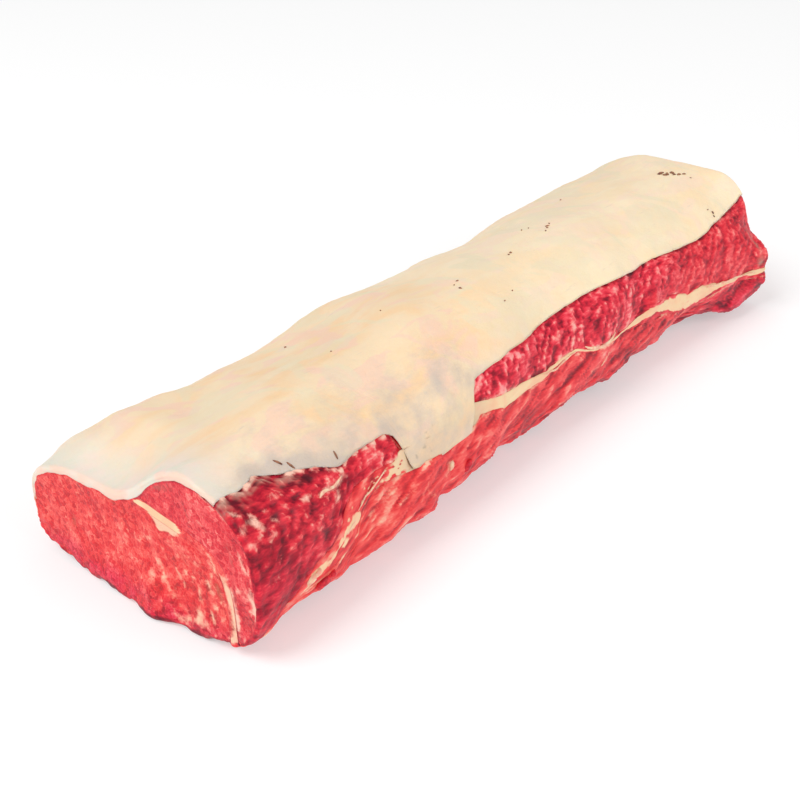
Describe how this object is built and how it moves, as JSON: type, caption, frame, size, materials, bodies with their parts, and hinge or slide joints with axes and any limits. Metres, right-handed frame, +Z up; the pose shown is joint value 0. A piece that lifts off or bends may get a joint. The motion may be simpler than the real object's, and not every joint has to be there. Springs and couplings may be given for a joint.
{
  "type": "boneless beef striploin",
  "caption": "Whole boneless loin of raw beef lying on its lean underside, with a cap of fat over the top, a bare lean side and both ends cut square.",
  "frame": {"origin": "on the surface it lies on, below the middle of the loin's box", "axes": "+X along the loin from the near cut to the far cut, +Y towards the flank side where the fat rolls down, +Z up through the fat cap; -Y is the bare backbone side"},
  "size_m": [0.5162, 0.1693, 0.0938],
  "materials": {
    "eye_lean": "moist raw lean, bright red with fine marbling",
    "side_lean": "moist raw lean, dark red with coarse fibre bundles",
    "seam_fat": "waxy cream fat streaked with lean",
    "cap_fat": "waxy cream fat, yellow in patches"
  },
  "bodies": {
    "root": {"eye_muscle": "eye_lean", "side_muscle": "side_lean", "seam_fat": "seam_fat", "fat_cap": "cap_fat"}
  },
  "joints": []
}
